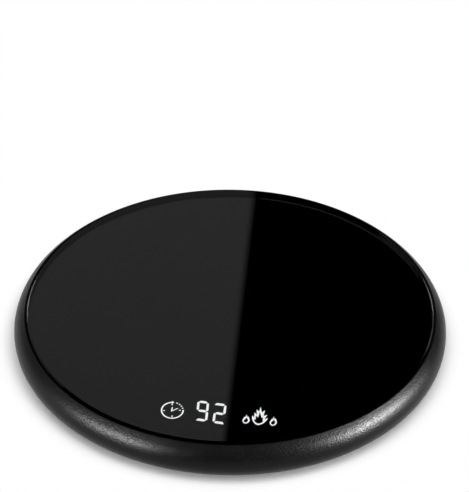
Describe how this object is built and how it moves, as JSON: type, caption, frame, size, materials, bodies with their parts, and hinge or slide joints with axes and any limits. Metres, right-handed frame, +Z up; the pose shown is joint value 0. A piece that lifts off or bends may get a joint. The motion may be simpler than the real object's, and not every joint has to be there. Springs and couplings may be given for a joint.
{
  "type": "electric mug warmer",
  "caption": "Slim round electric mug warmer with a black glass top in a rounded plastic rim, a lit timer, digit and flame display at the front and a barrel inlet at the back.",
  "frame": {"origin": "centre of the circle of the four feet, on the surface that they stand on", "axes": "+Z up through the glass top; -Y to the front, where the display is; +Y to the back, where the inlet is"},
  "size_m": [0.13, 0.1297, 0.0146],
  "materials": {
    "rim_plastic": "fine sand texture, satin black",
    "base_plastic": "fine spark texture, black",
    "foot_rubber": "matt black",
    "top_glass": "polished, ink printed on its underside",
    "gasket_foam": "closed-cell foam",
    "silicone_pad": "soft silicone",
    "plate_aluminium": "rolled sheet",
    "film_polyimide": "amber film",
    "track_alloy": "etched foil",
    "felt_white": "ceramic felt",
    "plated_steel": "zinc-plated sheet",
    "screw_steel": "zinc-plated",
    "sensor_epoxy": "dipped epoxy",
    "cutout_ceramic": "glazed ceramic",
    "board_laminate": "green solder mask",
    "light_box_white": "white, moulded",
    "led_resin": "cast resin",
    "diffuser_film": "milky film",
    "touch_polyester": "printed film",
    "socket_nylon": "natural nylon",
    "jack_plastic": "moulded black",
    "contact_brass": "plated",
    "chip_epoxy": "moulded epoxy",
    "resistor_ceramic": "coated ceramic",
    "choke_ferrite": "pressed ferrite",
    "capacitor_can": "drawn can",
    "buzzer_plastic": "moulded black",
    "heater_wire_silicone": "red silicone",
    "sensor_wire_plastic": "white sleeve",
    "cable_plastic": "grey sheath"
  },
  "bodies": {
    "root": {"upper_housing": "rim_plastic", "base_cover": "base_plastic", "rubber_feet": "foot_rubber", "glass_panel": "top_glass", "glass_gasket": "gasket_foam", "thermal_pad": "silicone_pad", "heater_plate": "plate_aluminium", "heater_film": "film_polyimide", "heater_track": "track_alloy", "insulation_pad": "felt_white", "pressure_plate": "plated_steel", "temperature_sensor": "sensor_epoxy", "thermal_cutout": "cutout_ceramic", "plate_screws": "screw_steel", "board_screws": "screw_steel", "housing_screws": "screw_steel", "display_board": "board_laminate", "light_box": "light_box_white", "display_leds": "led_resin", "display_diffuser": "diffuser_film", "touch_film": "touch_polyester", "touch_socket": "socket_nylon", "controller_chip": "chip_epoxy", "chip_resistors": "resistor_ceramic", "power_board": "board_laminate", "power_jack": "jack_plastic", "jack_pin": "contact_brass", "jack_terminals": "contact_brass", "choke": "choke_ferrite", "drive_transistor": "chip_epoxy", "filter_capacitors": "capacitor_can", "buzzer": "buzzer_plastic", "heater_socket": "socket_nylon", "sensor_socket": "socket_nylon", "link_sockets": "socket_nylon", "sensor_leads": "sensor_wire_plastic", "heater_wires": "heater_wire_silicone", "link_cable": "cable_plastic"}
  },
  "joints": []
}
